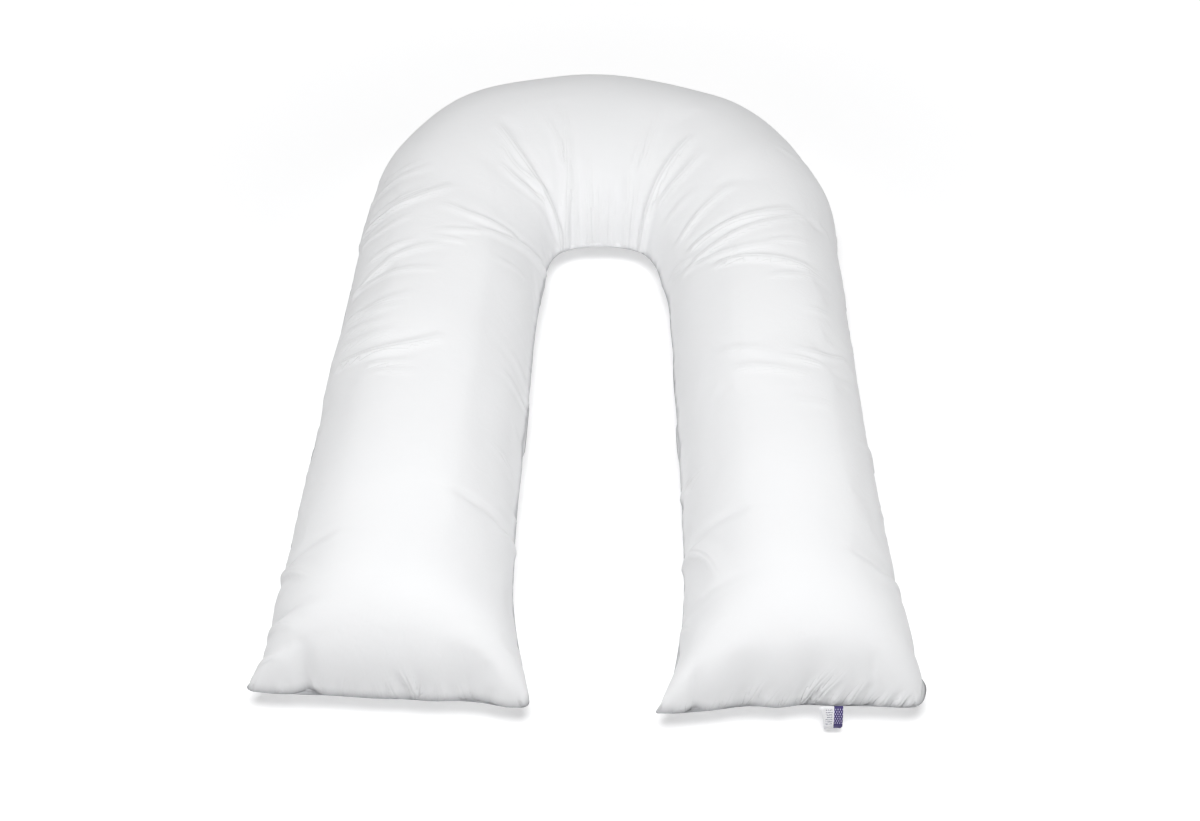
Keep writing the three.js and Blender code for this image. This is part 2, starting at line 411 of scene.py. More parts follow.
class ShaderGraph:
    """The nodes of one material, with a Principled shader at the end."""

    def __init__(self, name: str, **constants: Any) -> None:
        """Makes the material.

        Args:
            name: The material's name.
            constants: Values of the Principled shader's sockets, with _ for a space.
        """
        self.material = bpy.data.materials.new(name)
        self.material.use_nodes = True
        self.tree = self.material.node_tree
        self.tree.nodes.clear()
        output = self.tree.nodes.new("ShaderNodeOutputMaterial")
        self.shader = self.tree.nodes.new("ShaderNodeBsdfPrincipled")
        self.tree.links.new(self.shader.outputs[0], output.inputs["Surface"])
        for socket, value in constants.items():
            self.shader.inputs[socket.replace("_", " ")].default_value = value

    def node(self, kind: str, settings: dict[str, Any], inputs: dict[Any, Any], out: Any = 0) -> Signal:
        """Adds a node.

        Args:
            kind: The node's type.
            settings: Its settings, set first.
            inputs: Values or signals for its sockets, by name or number.
            out: The output that the signal stands for.

        Returns:
            The output as a signal.
        """
        made = self.tree.nodes.new(kind)
        for key, value in settings.items():
            setattr(made, key, value)
        for key, value in inputs.items():
            if isinstance(value, Signal):
                self.tree.links.new(value.socket, made.inputs[key])
            else:
                made.inputs[key].default_value = value
        return Signal(self, made.outputs[out])

    def feed(self, socket: str, value: Signal) -> None:
        """Links a signal to a socket of the Principled shader."""
        self.tree.links.new(value.socket, self.shader.inputs[socket])

    def object_place(self) -> Signal:
        """The point's place in the piece's own frame."""
        return self.node("ShaderNodeTexCoord", {}, {}, "Object")

    def map_place(self, name: str) -> Signal:
        """The point's place on one of the piece's own maps."""
        return self.node("ShaderNodeUVMap", {"uv_map": name}, {})

    def joined(self, x: Any, y: Any, z: Any = 0.0) -> Signal:
        """A vector of three values."""
        return self.node("ShaderNodeCombineXYZ", {}, {0: x, 1: y, 2: z})

    def split(self, vector: Signal) -> tuple[Signal, Signal, Signal]:
        """The three parts of a vector."""
        first = self.node("ShaderNodeSeparateXYZ", {}, {0: vector})
        outputs = first.socket.node.outputs
        return first, Signal(self, outputs[1]), Signal(self, outputs[2])

    def speckle(self, place: Signal, scale: float, detail: float = 3.0, distort: float = 0.0) -> Signal:
        """Noise around 0.5.

        Args:
            place: Where it is read.
            scale: Its waves per metre.
            detail: Its octaves.
            distort: How far it is warped.

        Returns:
            The noise.
        """
        inputs = {"Vector": place, "Scale": scale, "Detail": detail, "Distortion": distort}
        return self.node("ShaderNodeTexNoise", {}, inputs)

    def blend(self, share: Any, low: Any, high: Any) -> Signal:
        """Mixes two colours by a share from 0 to 1."""
        inputs = {"Factor": share, COLOUR_A: low, COLOUR_B: high}
        return self.node("ShaderNodeMix", {"data_type": "RGBA"}, inputs, MIXED_COLOUR)

    def raise_by(
        self, height: Signal, distance: float, strength: float, over: Signal | None = None
    ) -> Signal:
        """A bump.

        Args:
            height: The relief, from 0 to 1.
            distance: The relief's height in metres.
            strength: The bump's strength.
            over: A bump under this one.

        Returns:
            The normal.
        """
        inputs: dict[Any, Any] = {"Height": height, "Distance": distance, "Strength": strength}
        if over is not None:
            inputs["Normal"] = over
        return self.node("ShaderNodeBump", {}, inputs)


Colour = tuple[float, float, float, float]


def dulled(colour: Colour, share: float) -> Colour:
    """A colour darkened to a share of itself."""
    return tuple(share * part for part in colour[:3]) + (1.0,)


@dataclass(frozen=True)
class CottonFinish:
    """White plain-weave cotton, matt with a faint sheen.

    Attributes:
        white: Its colour.
        shade: The colour of its slightly duller patches.
        painted_seam_shade: Painted shade, the grey that the cloth darkens to at a seam where shade falls.
        seam_shade_reach: How far from the seam that painted shade is felt.
        thread_pitch: From one thread to the next.
        thread_rise: Height of a thread over the gaps.
        rumple_rise: Height of the cloth's soft unevenness.
        gather_reach: How far fine gathers run from the seams.
        gather_rise: Their height.
        crease_width: Half-width of the sharp line down a crease's middle.
    """

    white: Colour = (0.83, 0.833, 0.84, 1.0)
    shade: Colour = (0.80, 0.805, 0.815, 1.0)
    painted_seam_shade: Colour = (0.40, 0.405, 0.42, 1.0)
    seam_shade_reach: float = 0.020
    thread_pitch: float = 0.0007
    thread_rise: float = 0.00008
    rumple_rise: float = 0.0016
    gather_reach: float = 0.032
    gather_rise: float = 0.0024
    crease_width: float = 0.0017

    def material(self) -> bpy.types.Material:
        """Builds the material.

        Returns:
            The material.
        """
        graph = ShaderGraph(
            "white_cotton",
            Roughness=0.88,
            Specular_IOR_Level=0.25,
            Sheen_Weight=0.12,
            Sheen_Roughness=0.5,
        )
        place = graph.object_place()
        patches = graph.speckle(place, scale=9.0, detail=4.0, distort=0.6)
        near_seam, from_seam, _ = graph.split(graph.map_place("seam"))
        # painted shade: the cloth's colour darkens towards grey close to each seam, where shade falls as
        # the cloth turns in
        seam_shade_share = (1.0 - from_seam * (1 / self.seam_shade_reach)).clipped()
        cloth = graph.blend(patches, self.white, self.shade)
        graph.feed("Base Color", graph.blend(seam_shade_share * seam_shade_share, cloth, self.painted_seam_shade))
        graph.feed("Roughness", 0.82 + patches * 0.12)
        along, across, _ = graph.split(graph.map_place("cloth"))
        turn = 2 * math.pi / self.thread_pitch
        weave = (along * turn).sine() * (across * turn).sine() * 0.25 + 0.5
        rumple = graph.speckle(place, scale=42.0, detail=5.0, distort=0.8)
        soft = graph.raise_by(rumple, self.rumple_rise, strength=0.35)
        stretched = graph.joined(near_seam * 150.0, from_seam * 22.0)
        streaks = graph.speckle(stretched, scale=1.0, detail=2.0, distort=0.3)
        fade = (1.0 - from_seam * (1 / self.gather_reach)).clipped()
        drawn = graph.raise_by(streaks * fade * fade, self.gather_rise, strength=0.8, over=soft)
        from_line, depth, _ = graph.split(graph.map_place("crease"))
        line = (from_line * (1 / self.crease_width)).bell() * depth * -1.0
        creased = graph.raise_by(line, 1.0, strength=1.0, over=drawn)
        woven = graph.raise_by(weave, self.thread_rise, strength=0.5, over=creased)
        graph.feed("Normal", woven)
        return graph.material


@dataclass(frozen=True)
class ThreadFinish:
    """White sewing thread.

    Attributes:
        colour: Its colour.
        twist_pitch: From one turn of the twist to the next.
        twist_rise: Height of the twist's ridges.
    """

    colour: Colour = (0.78, 0.785, 0.80, 1.0)
    twist_pitch: float = 0.0008
    twist_rise: float = 0.0001

    def material(self) -> bpy.types.Material:
        """Builds the material.

        Returns:
            The material.
        """
        graph = ShaderGraph("sewing_thread", Roughness=0.6, Sheen_Weight=0.1)
        place = graph.object_place()
        shade = graph.speckle(place, scale=300.0)
        graph.feed("Base Color", graph.blend(shade, self.colour, dulled(self.colour, 0.88)))
        x, y, z = graph.split(place)
        twist = ((x + y + z) * (2 * math.pi / self.twist_pitch)).sine() * 0.5 + 0.5
        graph.feed("Normal", graph.raise_by(twist, self.twist_rise, strength=0.6))
        return graph.material


@dataclass(frozen=True)
class FloorFinish:
    """A plain pale floor that gives off light, more of it towards its rim.

    Attributes:
        colour: Its own colour.
        glow: Light that it gives off beside the pillow.
        glow_far: And at its rim.
        rim: Distance of the rim from the middle.
    """

    colour: Colour = (0.72, 0.72, 0.724, 1.0)
    glow: float = 0.30
    glow_far: float = 0.95
    rim: float = 2.2

    def material(self) -> bpy.types.Material:
        """Builds the material.

        Returns:
            The material.
        """
        graph = ShaderGraph(
            "pale_floor", Roughness=0.9, Specular_IOR_Level=0.1, Emission_Strength=1.0
        )
        x, y, _ = graph.split(graph.object_place())
        away = ((x * x + y * y) * (1 / self.rim**2)).clipped()
        near = (self.glow, self.glow, self.glow, 1.0)
        far = (self.glow_far, self.glow_far, self.glow_far, 1.0)
        graph.feed("Emission Color", graph.blend(away, near, far))
        tone = graph.speckle(graph.object_place(), scale=3.0)
        graph.feed("Base Color", graph.blend(tone, self.colour, dulled(self.colour, 0.99)))
        return graph.material


@dataclass(frozen=True)
class TagFinish:
    """White woven tape, one half of it dark violet with pale marks.

    Attributes:
        tape: The white half.
        violet: The dark half.
        mark: The pale marks on the dark half.
        ink: The grey dashes on the white half.
        fold_line: Where the violet half begins, from 0 to 1 across.
        rows: Rows of dashes down the tag.
        word_scale: How closely a row is broken into dashes.
        rib_turns: Ribs of the weave down the tag, in radians.
        rib_rise: Their height.
    """

    tape: Colour = (0.80, 0.80, 0.82, 1.0)
    violet: Colour = (0.035, 0.022, 0.14, 1.0)
    mark: Colour = (0.55, 0.52, 0.72, 1.0)
    ink: Colour = (0.30, 0.30, 0.36, 1.0)
    fold_line: float = 0.52
    rows: float = 9.0
    word_scale: float = 14.0
    rib_turns: float = 260.0
    rib_rise: float = 0.0001

    def material(self) -> bpy.types.Material:
        """Builds the material from the tag's own map, 0 to 1 across and down.

        Returns:
            The material.
        """
        graph = ShaderGraph("tag_tape", Roughness=0.55, Sheen_Weight=0.05)
        across, down, _ = graph.split(graph.map_place("cloth"))
        dark = across > self.fold_line
        rows = (down * self.rows).fraction() > 0.55
        margin = (across > 0.08) * (across < 0.44) * (down > 0.16) * (down < 0.92)
        words = graph.speckle(graph.map_place("cloth"), self.word_scale, detail=1.0) > 0.47
        printed = graph.blend(rows * margin * words, self.tape, self.ink)
        diamond = ((across * 50.0).sine() * (down * 28.0).sine()) > 0.42
        patch = graph.blend(diamond * (down > 0.12) * (down < 0.9), self.violet, self.mark)
        graph.feed("Base Color", graph.blend(dark, printed, patch))
        ribs = (down * self.rib_turns).sine() * 0.5 + 0.5
        graph.feed("Normal", graph.raise_by(ribs, self.rib_rise, strength=0.5))
        return graph.material


# ---------------------------------------------------------------------------- the pillow's form


def catmull_rom(points: np.ndarray, places: np.ndarray) -> np.ndarray:
    """Points on a centripetal Catmull-Rom curve.

    Args:
        points: The curve's points, one a row.
        places: Where to read it, 0 at the first point and 1 more at each next one.

    Returns:
        One point for each place.
    """
    first = 2 * points[0] - points[1]
    last = 2 * points[-1] - points[-2]
    padded = np.vstack([first, points, last])
    low = np.minimum(places.astype(int), len(points) - 2)
    share = (places - low)[:, None]
    p0, p1, p2, p3 = (padded[low + step] for step in range(4))
    gap0, gap1, gap2 = (
        np.sqrt(np.linalg.norm(b - a, axis=1))[:, None] for a, b in ((p0, p1), (p1, p2), (p2, p3))
    )
    leave = ((p1 - p0) / gap0 - (p2 - p0) / (gap0 + gap1) + (p2 - p1) / gap1) * gap1
    arrive = ((p2 - p1) / gap1 - (p3 - p1) / (gap1 + gap2) + (p3 - p2) / gap2) * gap1
    square = -3 * p1 + 3 * p2 - 2 * leave - arrive
    cube = 2 * p1 - 2 * p2 + leave + arrive
    return p1 + leave * share + square * share**2 + cube * share**3


def smooth_column(values: np.ndarray, places: np.ndarray) -> np.ndarray:
    """A column of the sections between its rows, level at each row.

    Args:
        values: The column, a value for each row.
        places: Where to read it, in rows from the first.

    Returns:
        One value for each place.
    """
    low = np.minimum(places.astype(int), len(values) - 2)
    share = places - low
    ease = share * share * (3 - 2 * share)
    return values[low] * (1 - ease) + values[low + 1] * ease


def run_along(points: np.ndarray, axis: int) -> np.ndarray:
    """Length run from the first point, along one axis of a grid of points."""
    steps = np.linalg.norm(np.diff(points, axis=axis), axis=-1)
    first = np.zeros_like(np.take(steps, [0], axis=axis))
    return np.cumsum(np.concatenate([first, steps], axis=axis), axis=axis)


@dataclass(frozen=True)
class Gathers:
    """Small puckers along one seam, each its own size.

    Attributes:
        pitch: Mean spacing along the seam.
        depth: Mean depth.
        width: Mean half-width.
        reach: How far they run from the seam.
        seed: Chooses their places and sizes.
        jitter: How far one may leave its even place, as a share of the pitch.
        deepest: Least and greatest depth, as shares of the mean.
        widest: The same for the width.
        lean: The most that one slants.
        puff: Height of the cloth puffed up between two, as a share of the depth.
    """

    pitch: float
    depth: float
    width: float
    reach: float
    seed: int
    jitter: float = 0.42
    deepest: tuple[float, float] = (0.25, 1.6)
    widest: tuple[float, float] = (0.7, 1.4)
    lean: float = 0.55
    puff: float = 0.3

    def draw_in(self, position: np.ndarray, distance: np.ndarray, length: float) -> np.ndarray:
        """How deep the puckers draw the cloth in.

        Args:
            position: Place of each point along the seam.
            distance: Its distance from the seam.
            length: The seam's length.

        Returns:
            The depth at each point, a little below 0 on the cloth puffed up between two puckers.
        """
        chooser = np.random.default_rng(self.seed)
        count = round(length / self.pitch)
        spread = chooser.uniform(-self.jitter, self.jitter, count)
        places = (np.arange(count) + 0.5 + spread) * length / count
        deep = self.depth * chooser.uniform(*self.deepest, count)
        wide = self.width * chooser.uniform(*self.widest, count)
        # shares with a mean of 1, now and then twice that
        far = self.reach * chooser.gamma(3.0, 1 / 3.0, count)
        lean = chooser.uniform(-self.lean, self.lean, count)
        total = np.zeros(position.shape)
        near = distance < 6 * self.reach
        at, off = position[near], distance[near]
        found = np.zeros(at.shape)
        for place, depth, width, reach, slope in zip(places, deep, wide, far, lean):
            aside = (at - place - slope * off) / (width * (1 + 0.6 * off / reach))
            fade = np.exp(-((off / reach) ** 1.4)) * (1 - np.exp(-off / (0.35 * width)))
            # the cloth beside a pucker is highest two half-widths from its middle
            beside = np.exp(-(((np.abs(aside) - 2.0) / 1.2) ** 2))
            found += depth * fade * (np.exp(-(aside**2)) - self.puff * beside)
        total[near] = found
        return total


@dataclass
class PillowForm:
    """The filled shape: where the seams run and how the two panels swell between them.

    Attributes:
        sections: The rows across the tube.
        folds: The folds in the upper panel.
        edges: Where the sewn edge is broader or stands up.
        swerves: Where the seams swerve.
        upper_columns: Columns of points across the upper panel.
        lower_columns: Columns across the lower one.
        roundness: 2 makes the crown an ellipse.
        seam_insets: From the outer and the inner seam's line in plan to the filling.
        edge_depth: Width of the sewn edge outside the filling.
        edge_half: Half its thickness.
        edge_rim: Half the thickness of its outermost line.
        edge_droop: How far it hangs down, in degrees.
        swerve_reach: How far in from an end seam its swerves are felt.
        corners: Radii in plan of the left leg's outer and inner corner and of the right leg's.
        end_round: Length over which a leg closes to its end seam.
        end_roundness: 2 makes that an ellipse.
        under_tuck: Share of the half-width before the lower panel lies flat.
        under_roundness: How suddenly it gets there.
        fold_fade: Share of its depth that a fold loses along its length.
        fold_flare: Share of its width that it gains.
        fold_swell: Height of the cloth puffed up beside it, as a share of the depth.
    """

    sections: tuple[Section, ...] = SECTIONS
    folds: tuple[Fold, ...] = FOLDS
    edges: tuple[Edge, ...] = EDGES
    swerves: tuple[Swerve, ...] = SWERVES
    upper_columns: int = 121
    lower_columns: int = 35
    roundness: float = 2.15
    seam_insets: tuple[float, float] = (0.0045, 0.0025)
    edge_depth: float = 0.0024
    edge_half: float = 0.0009
    edge_rim: float = 0.00015
    edge_droop: float = 80.0
    swerve_reach: float = 0.035
    corners: tuple[float, float, float, float] = (0.012, 0.014, 0.014, 0.004)
    end_round: float = 0.100
    end_roundness: float = 2.15
    under_tuck: float = 0.52
    under_roundness: float = 1.8
    fold_fade: float = 0.6
    fold_flare: float = 0.35
    fold_swell: float = 0.3

    def __post_init__(self) -> None:
        """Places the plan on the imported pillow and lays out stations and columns.

        shift moves the tables' plan onto the frame, and rows holds the sections there. outer,
        inner, crown and seam hold one value for each station; inner_tip is the inner seam's column.
        """
        rows = np.array(self.sections) * MM
        low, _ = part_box("pillow")
        self.shift = np.array([low.x - rows[:, 0].min(), low.y - rows[:, 3].min()])
        rows[:, 0:2] += self.shift
        rows[:, 2:4] += self.shift
        self.rows = rows
        places = self._station_places()
        self.outer = catmull_rom(rows[:, 0:2], places)
        self.inner = catmull_rom(rows[:, 2:4], places)
        self.crown = smooth_column(rows[:, 4], places)
        self.seam = smooth_column(rows[:, 5], places)
        self.angle, self.lip, self.upper = self._columns()
        self.inner_tip = self.upper_columns + TIP_COLUMNS

    def in_frame(self, x: float, y: float) -> np.ndarray:
        """A point of the tables' plan, in metres in the frame."""
        return np.array([x, y]) * MM + self.shift

    def _station_places(self) -> np.ndarray:
        """Places of the stations along the table, closer together near the leg ends.

        Returns:
            An odd number of places, in rows from the first.
        """
        near_end = np.array(END_STATIONS) * MM
        places: list[float] = []
        last = len(self.rows) - 2
        for row, section in enumerate(self.sections[:-1]):
            step = self.rows[row + 1] - self.rows[row]
            length = max(np.hypot(step[0], step[1]), np.hypot(step[2], step[3]))
            start = near_end[-1] / length if row == 0 else 0.0
            stop = 1 - near_end[-1] / length if row == last else 1.0
            count = round(length * (stop - start) / (section.step * MM))
            if row == 0:
                places += (near_end[:-1] / length).tolist()
            places += (row + np.linspace(start, stop, count, endpoint=False)).tolist()
            if row == last:
                places += (row + 1 - near_end[::-1] / length).tolist()
        if len(places) % 2 == 0:
            places.pop(len(places) // 2)
        return np.array(places)

    def _columns(self) -> tuple[np.ndarray, np.ndarray, np.ndarray]:
        """The columns round the ring, from the outer edge over the crown and back under.

        Returns:
            For each station and column its angle, 0 at the outer seam and pi at the inner one; for
            each column its place on the sewn edge, from 0 at the filling to 1 outside, and whether
            it is on the upper panel.
        """
        even = np.linspace(0, np.pi, self.upper_columns)
        level = np.linspace(1, -1, self.upper_columns)
        spread = np.arccos(np.sign(level) * np.abs(level) ** (self.roundness / 2))
        at_end = 1 - np.clip(self.end_distance((self.outer + self.inner) / 2) / self.end_round, 0, 1)
        top = even + at_end[:, None] * (spread - even)
        under = np.linspace(np.pi, 2 * np.pi, self.lower_columns)
        angle = np.concatenate([[0, 0], even, [np.pi, np.pi], [np.pi], under, [2 * np.pi]])
        angle = np.repeat(angle[None], len(top), axis=0)
        angle[:, 2 : 2 + self.upper_columns] = top
        lip = np.zeros(angle.shape[1])
        inner_tip = self.upper_columns + TIP_COLUMNS
        lip[[0, inner_tip]] = 1.0
        lip[[1, inner_tip - 1, inner_tip + 1, -1]] = 0.5
        upper = np.arange(len(lip)) <= inner_tip
        return angle, lip, upper

    def end_distance(self, plan: np.ndarray) -> np.ndarray:
        """Distance in plan to the nearer end seam.

        Args:
            plan: Points in plan, in the last axis.

        Returns:
            The distances.
        """
        found = []
        for row in (self.rows[0], self.rows[-1]):
            outer, inner = row[0:2], row[2:4]
            way = (inner - outer) / np.linalg.norm(inner - outer)
            offset = plan - outer
            found.append(np.abs(way[0] * offset[..., 1] - way[1] * offset[..., 0]))
        return np.minimum(*found)

    def edge_at(self, plan: np.ndarray) -> tuple[np.ndarray, np.ndarray]:
        """Width and droop, in radians, of the sewn edge at points in plan.

        Args:
            plan: Points in plan, in the last axis.

        Returns:
            The width and the droop at each point.
        """
        depth = np.full(plan.shape[:-1], self.edge_depth)
        droop = np.full(plan.shape[:-1], self.edge_droop)
        for edge in self.edges:
            centre = self.in_frame(edge.x, edge.y)
            near = np.exp(-((np.linalg.norm(plan - centre, axis=-1) / (edge.spread * MM)) ** 2))
            depth += near * (edge.depth * MM - self.edge_depth)
            droop += near * (edge.droop - self.edge_droop)
        return depth, np.radians(droop)

    def surface(self) -> np.ndarray:
        """The filled shape without its folds: points of every station and column.

        Returns:
            A grid of points, a row for each station.
        """
        cosine, sine = np.cos(self.angle), np.sin(self.angle)
        sine[np.abs(sine) < 1e-9] = 0.0
        middle = (self.outer + self.inner) / 2
        span = self.outer - self.inner
        half = np.linalg.norm(span, axis=1) / 2
        across = span / (2 * half[:, None])
        power = 2 / self.roundness
        bend = np.sign(cosine) * np.abs(cosine) ** power
        outer_edge, outer_droop = self.edge_at(self.outer)
        inner_edge, inner_droop = self.edge_at(self.inner)
        on_outer = cosine > 0
        edge = np.where(on_outer, outer_edge[:, None], inner_edge[:, None])
        side_droop = np.where(on_outer, outer_droop[:, None], inner_droop[:, None])
        side_out = np.sign(cosine) * self.lip * edge * np.cos(side_droop)
        inset = np.where(on_outer, *self.seam_insets) + self._corner_trim(middle, on_outer)
        body = half[:, None] - inset + self._swerve_sides(on_outer)
        reach = body * bend + side_out
        plan = middle[:, None, :] + across[:, None, :] * reach[..., None]

        end_edge, end_droop = self.edge_at(plan)
        end_out = end_edge * np.cos(end_droop)
        from_end = self.end_distance(plan) - end_out
        closed = 1 - np.clip(from_end / self.end_round, 0, 1)
        seam = self.seam[:, None]
        open_end = (1 - closed**self.end_roundness) ** (1 / self.end_roundness)
        top = (self.crown[:, None] - seam) * np.abs(sine) ** power * open_end
        inward = np.clip((1 - np.abs(bend)) / self.under_tuck, 0, 1)
        drop = 1 - (1 - inward) ** self.under_roundness
        bottom = seam * drop * (1 - closed**self.under_roundness)
        end_lip = np.clip(-from_end / end_out, 0, 1)
        out = np.maximum(end_lip, self.lip[None, :])
        thick = self.edge_half * np.sqrt(np.clip(1 - out**4, 0, 1)) + self.edge_rim
        thick = np.where(self.lip[None, :] == 1.0, 0.0, thick)
        height = np.where(self.upper, np.maximum(top, thick), -np.maximum(bottom, thick))
        hang = np.maximum(self.lip * edge * np.sin(side_droop), end_lip * end_edge * np.sin(end_droop))
        points = np.empty(plan.shape[:2] + (3,))
        points[..., :2] = plan
        points[..., 1] -= self._swerve_ends(plan)
        points[..., 2] = np.maximum(seam + height - hang, 0.0)
        return points

    def _corner_trim(self, middle: np.ndarray, on_outer: np.ndarray) -> np.ndarray:
        """How far the rounded corners draw the sides in.

        Args:
            middle: The stations' middles.
            on_outer: Whether each station's column is on the outer side.

        Returns:
            The width lost at each station and column.
        """
        on_left = (np.arange(len(middle)) < len(middle) // 2)[:, None]
        left = np.where(on_outer, self.corners[0], self.corners[1])
        right = np.where(on_outer, self.corners[2], self.corners[3])
        radius = np.where(on_left, left, right)
        from_end = np.clip(self.end_distance(middle)[:, None], 0, radius)
        return radius - np.sqrt(radius**2 - (radius - from_end) ** 2)

    def _swerve_ends(self, plan: np.ndarray) -> np.ndarray:
        """How far the end seams' swerves move points in plan outwards."""
        near = np.clip(1 - self.end_distance(plan) / self.swerve_reach, 0, 1)
        fade = near * near * (3 - 2 * near)
        return self._swerves_of(Seam.END, plan[..., 0] - self.shift[0]) * fade

    def _swerve_sides(self, on_outer: np.ndarray) -> np.ndarray:
        """How far the side seams' swerves move each station's columns outwards.

        Args:
            on_outer: Whether each station's column is on the outer side.

        Returns:
            The move at each station and column.
        """
        left = np.arange(len(self.outer)) < len(self.outer) // 2
        outer_place = self.outer[:, 1] - self.shift[1]
        inner_place = self.inner[:, 1] - self.shift[1]
        outer = np.where(
            left,
            self._swerves_of(Seam.LEFT_OUTER, outer_place),
            self._swerves_of(Seam.RIGHT_OUTER, outer_place),
        )
        inner = np.where(
            left,
            self._swerves_of(Seam.LEFT_INNER, inner_place),
            self._swerves_of(Seam.RIGHT_INNER, inner_place),
        )
        return np.where(on_outer, outer[:, None], inner[:, None])

    def _swerves_of(self, seam: Seam, place: np.ndarray) -> np.ndarray:
        """The swerve of one seam at places along it.

        Args:
            seam: The seam.
            place: Places along it, in metres.

        Returns:
            How far out it lies at each place.
        """
        total = np.zeros(place.shape)
        for swerve in self.swerves:
            if swerve.seam is seam:
                aside = (place / MM - swerve.place) / swerve.spread
                total += swerve.out * MM * np.exp(-(aside**2))
        return total

    def add_folds(self, plan: np.ndarray, creases: "Creases") -> None:
        """Adds every fold of the upper panel, read at points in plan."""
        for fold in self.folds:
            self._add_fold(plan, fold, creases)

    def _add_fold(self, plan: np.ndarray, fold: Fold, creases: "Creases") -> None:
        """Adds one fold, read in its own plan: along it and across it.

        Args:
            plan: Points in plan, in the last axis.
            fold: The fold.
            creases: What it is added to.
        """
        start = self.in_frame(fold.x, fold.y)
        angle = math.radians(fold.turn)
        way = np.array([math.cos(angle), math.sin(angle)])
        offset = plan - start
        length = fold.length * MM
        width = fold.width * MM
        along = offset @ way
        aside = offset[..., 1] * way[0] - offset[..., 0] * way[1]
        share = np.clip(along / length, 0, 1)
        aside = aside - fold.bend * MM * 4 * share * (1 - share)
        beyond = np.maximum(np.maximum(-along, along - length), 0)
        fade = np.exp(-((beyond / (1.6 * width)) ** 2)) * (1 - self.fold_fade * share**2)
        creases.add(fold.depth * MM * fade, aside, width * (1 + self.fold_flare * share), self.fold_swell)


@dataclass
class Creases:
    """All the creases of the cloth, read at each point of a grid.

    Attributes:
        shape: The grid's.
        line_share: Depth of the sharp line down a crease's middle, as a share of the crease's.
        line_support: How far from that line its place is kept.
    """

    shape: tuple[int, ...]
    line_share: float = 0.2
    line_support: float = 0.0075

    def __post_init__(self) -> None:
        """Starts with smooth cloth."""
        self.depth = np.zeros(self.shape)
        self.aside = np.full(self.shape, self.line_support)
        self.line = np.zeros(self.shape)
        self._weight = np.zeros(self.shape)

    def add(self, depth: np.ndarray, aside: np.ndarray, width: np.ndarray, swell: float) -> None:
        """Adds one crease.

        Args:
            depth: Its depth at each point's place along it.
            aside: Each point's distance from its middle, with a sign.
            width: Its half-width.
            swell: Height of the cloth puffed up on both sides, as a share of the depth.
        """
        off = np.abs(aside) / width
        # the cloth beside a crease is highest 1.9 half-widths from its middle
        beside = np.exp(-(((off - 1.9) / 1.1) ** 2))
        self.depth += depth * (np.exp(-(off**2)) - swell * beside)
        weight = depth * np.exp(-((aside / self.line_support) ** 2))
        nearest = (weight > self._weight) & (np.abs(aside) < self.line_support)
        self._weight = np.where(nearest, weight, self._weight)
        self.aside = np.where(nearest, aside, self.aside)
        self.line = np.where(nearest, depth * self.line_share, self.line)


# ---------------------------------------------------------------------------- the pieces


def mesh_piece(name: str, points: np.ndarray, faces: list[tuple[int, ...]]) -> bpy.types.Object:
    """Makes a smooth mesh object at the origin.

    Args:
        name: The piece's name.
        points: Its vertices, one a row.
        faces: Its faces.

    Returns:
        The object, linked to the scene.
    """
    mesh = bpy.data.meshes.new(name)
    mesh.from_pydata(points.tolist(), [], faces)
    mesh.shade_smooth()
    mesh.update()
    piece = bpy.data.objects.new(name, mesh)
    bpy.context.scene.collection.objects.link(piece)
    return piece


def ring_quads(stations: int, columns: int) -> np.ndarray:
    """Quads of a closed tube, one a row, facing outwards.

    Args:
        stations: Rings along the tube.
        columns: Points round each ring.

    Returns:
        Four vertex numbers for each quad.
    """
    ring = np.arange(columns)
    following = (ring + 1) % columns
    low = np.arange(stations - 1)[:, None] * columns
    corners = [low + ring, low + following, low + columns + following, low + columns + ring]
    return np.stack(corners, axis=-1).reshape(-1, 4)


def activate(piece: bpy.types.Object) -> None:
    """Selects one object and makes it active."""
    bpy.ops.object.select_all(action="DESELECT")
    piece.select_set(True)
    bpy.context.view_layer.objects.active = piece


def dress(piece: bpy.types.Object, material: bpy.types.Material) -> None:
    """Gives a piece its material and its body.

    Args:
        piece: The piece.
        material: Its material.
    """
    piece.data.materials.clear()
    piece.data.materials.append(material)
    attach(piece, "root")
    LOG.info("%s: %d faces", piece.name, len(piece.data.polygons))


# how the simulated cloth behaves, in the simulation's own units
COTTON_CLOTH = {
    "quality": 5,
    "mass": 0.2,
    "tension_stiffness": 18.0,
    "compression_stiffness": 18.0,
    "shear_stiffness": 6.0,
    "bending_stiffness": 2.0,
}


